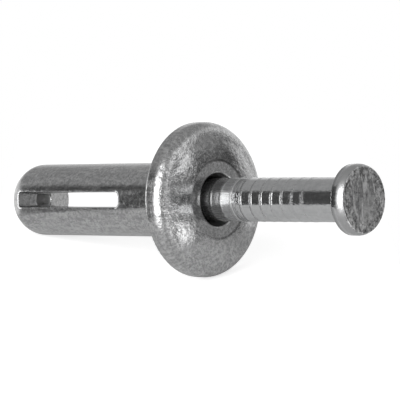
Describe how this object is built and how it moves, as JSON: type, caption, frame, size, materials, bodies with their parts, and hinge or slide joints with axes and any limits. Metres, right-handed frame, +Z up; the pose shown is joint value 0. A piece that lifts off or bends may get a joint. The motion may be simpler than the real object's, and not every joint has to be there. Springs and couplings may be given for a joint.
{
  "type": "hammer drive anchor",
  "caption": "Mushroom-head die-cast zinc wall anchor with a slotted closed shank and a ring-marked steel drive nail, undriven.",
  "frame": {"origin": "on the surface the anchor lies on, under the middle of its bounding box; y is 0 on the anchor's axis", "axes": "+X runs along the anchor from its closed end towards the nail's head, +Z up; lying on rim and closed end, the axis rises 10.1 degrees towards the nail's head"},
  "size_m": [0.038, 0.0128, 0.0127],
  "materials": {
    "cast_zinc": "die-cast zinc alloy with a thin satin plating, faintly mottled",
    "plated_steel": "bright zinc-plated steel wire, dull mottled struck face"
  },
  "bodies": {
    "body": {"anchor_body": "cast_zinc"},
    "nail": {"drive_nail": "plated_steel"}
  },
  "joints": [
    {"name": "nail_drive", "type": "slide", "parent": "body", "child": "nail", "axis": [-0.9845, 0, -0.1752], "range_m": [0, 0.01408]}
  ]
}
